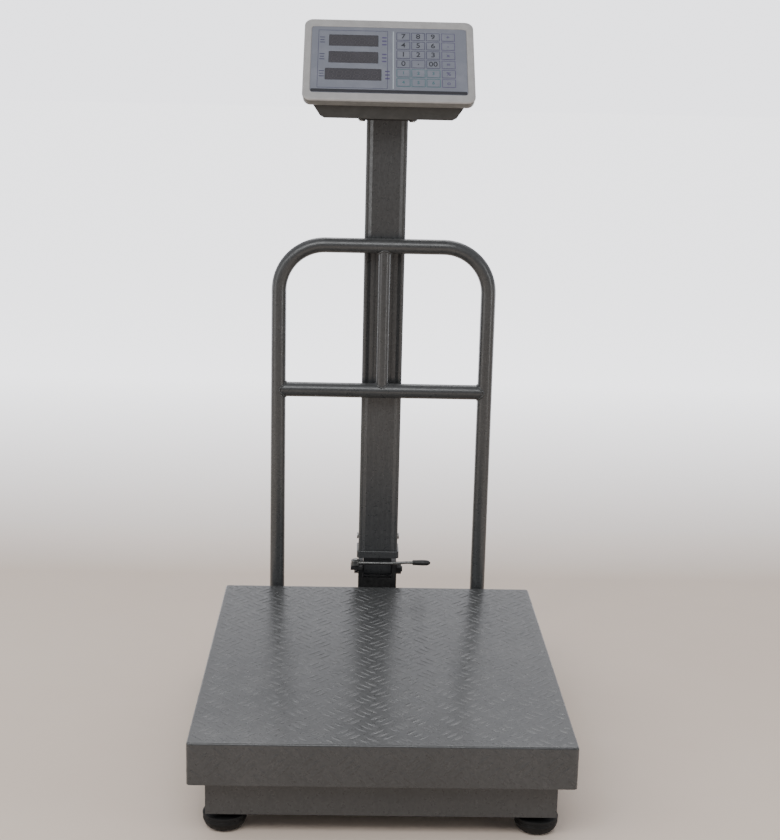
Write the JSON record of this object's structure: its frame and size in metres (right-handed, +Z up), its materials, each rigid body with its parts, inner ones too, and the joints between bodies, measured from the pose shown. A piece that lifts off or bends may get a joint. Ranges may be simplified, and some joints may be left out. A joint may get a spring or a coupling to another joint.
{
  "type": "platform shipping scale",
  "caption": "Low weighing platform on levelling feet with a tubular load guard and a rear column that folds back and carries a tilted price indicator.",
  "frame": {"origin": "floor level, at the middle of the overall width and depth", "axes": "+X to the right of someone facing the indicator, +Y to the rear, +Z up"},
  "size_m": [0.5, 0.704, 1.0464],
  "materials": {
    "painted steel": "gloss hammertone enamel",
    "black steel": "satin black",
    "zinc steel": "zinc plated",
    "cell alloy": "clear anodised",
    "rubber": "matt moulded",
    "cable sheath": "matt",
    "case plastic": "fine textured",
    "housing plastic": "fine textured",
    "overlay film": "printed polyester film",
    "display filter": "gloss dark red",
    "circuit board": "solder mask",
    "battery shell": "moulded",
    "black plastic": "satin"
  },
  "bodies": {
    "base": {"base_frame": "painted steel", "guard_hoop": "painted steel", "guard_crossbar": "painted steel", "guard_centre_bar": "painted steel", "guard_bracket_left": "painted steel", "guard_bracket_right": "painted steel", "spider_frame": "black steel", "mast_bracket": "black steel", "hinge_bolt": "black steel", "hinge_nut": "black steel", "cell_lower_spacer": "zinc steel", "cell_upper_spacer": "zinc steel", "cell_lower_bolt_1": "zinc steel", "cell_lower_bolt_2": "zinc steel", "cell_upper_bolt_1": "zinc steel", "cell_upper_bolt_2": "zinc steel", "overload_stop_1": "zinc steel", "overload_stop_2": "zinc steel", "overload_stop_3": "zinc steel", "overload_stop_4": "zinc steel", "bracket_bolt_1": "zinc steel", "bracket_bolt_2": "zinc steel", "lever_pin": "zinc steel", "load_cell": "cell alloy", "spider_buffer_1": "rubber", "spider_buffer_2": "rubber", "spider_buffer_3": "rubber", "spider_buffer_4": "rubber", "load_cell_cable": "cable sheath"},
    "platform": {"platform_pan": "painted steel"},
    "foot_1": {"foot_pad_1": "rubber", "foot_stud_1": "zinc steel"},
    "foot_2": {"foot_pad_2": "rubber", "foot_stud_2": "zinc steel"},
    "foot_3": {"foot_pad_3": "rubber", "foot_stud_3": "zinc steel"},
    "foot_4": {"foot_pad_4": "rubber", "foot_stud_4": "zinc steel"},
    "mast": {"column_foot": "painted steel", "column_tube": "painted steel", "column_screw_1": "zinc steel", "column_screw_2": "zinc steel", "mast_cable": "cable sheath", "head_plate": "black steel", "head_screw_1": "zinc steel", "head_screw_2": "zinc steel", "lower_housing": "housing plastic", "upper_case": "case plastic", "face_overlay": "overlay film", "display_window_1": "display filter", "display_window_2": "display filter", "display_window_3": "display filter", "display_board": "circuit board", "battery": "battery shell", "power_jack": "black plastic", "switch_bezel": "black plastic"},
    "clamp_lever": {"lever_arm": "zinc steel", "lever_grip": "black plastic"},
    "power_switch": {"switch_rocker": "black plastic"}
  },
  "joints": [
    {"name": "platform_lift", "type": "slide", "parent": "base", "child": "platform", "axis": [0, 0, 1], "range_m": [0, 0.12]},
    {"name": "mast_fold", "type": "hinge", "parent": "base", "child": "mast", "pos_m": [0, 0.3045, 0.151], "axis": [-1, 0, 0], "range_deg": [0, 90]},
    {"name": "clamp_lever_turn", "type": "hinge", "parent": "base", "child": "clamp_lever", "pos_m": [-0.037, 0.277, 0.165], "axis": [0, 0, 1], "range_deg": [-150, 0]},
    {"name": "power_switch_rock", "type": "hinge", "parent": "mast", "child": "power_switch", "pos_m": [0.075, 0.3471, 0.93], "axis": [1, 0, 0], "range_deg": [0, 16]},
    {"name": "foot_1_level", "type": "slide", "parent": "base", "child": "foot_1", "axis": [0, 0, -1], "range_m": [0, 0.012]},
    {"name": "foot_2_level", "type": "slide", "parent": "base", "child": "foot_2", "axis": [0, 0, -1], "range_m": [0, 0.012]},
    {"name": "foot_3_level", "type": "slide", "parent": "base", "child": "foot_3", "axis": [0, 0, -1], "range_m": [0, 0.012]},
    {"name": "foot_4_level", "type": "slide", "parent": "base", "child": "foot_4", "axis": [0, 0, -1], "range_m": [0, 0.012]}
  ]
}
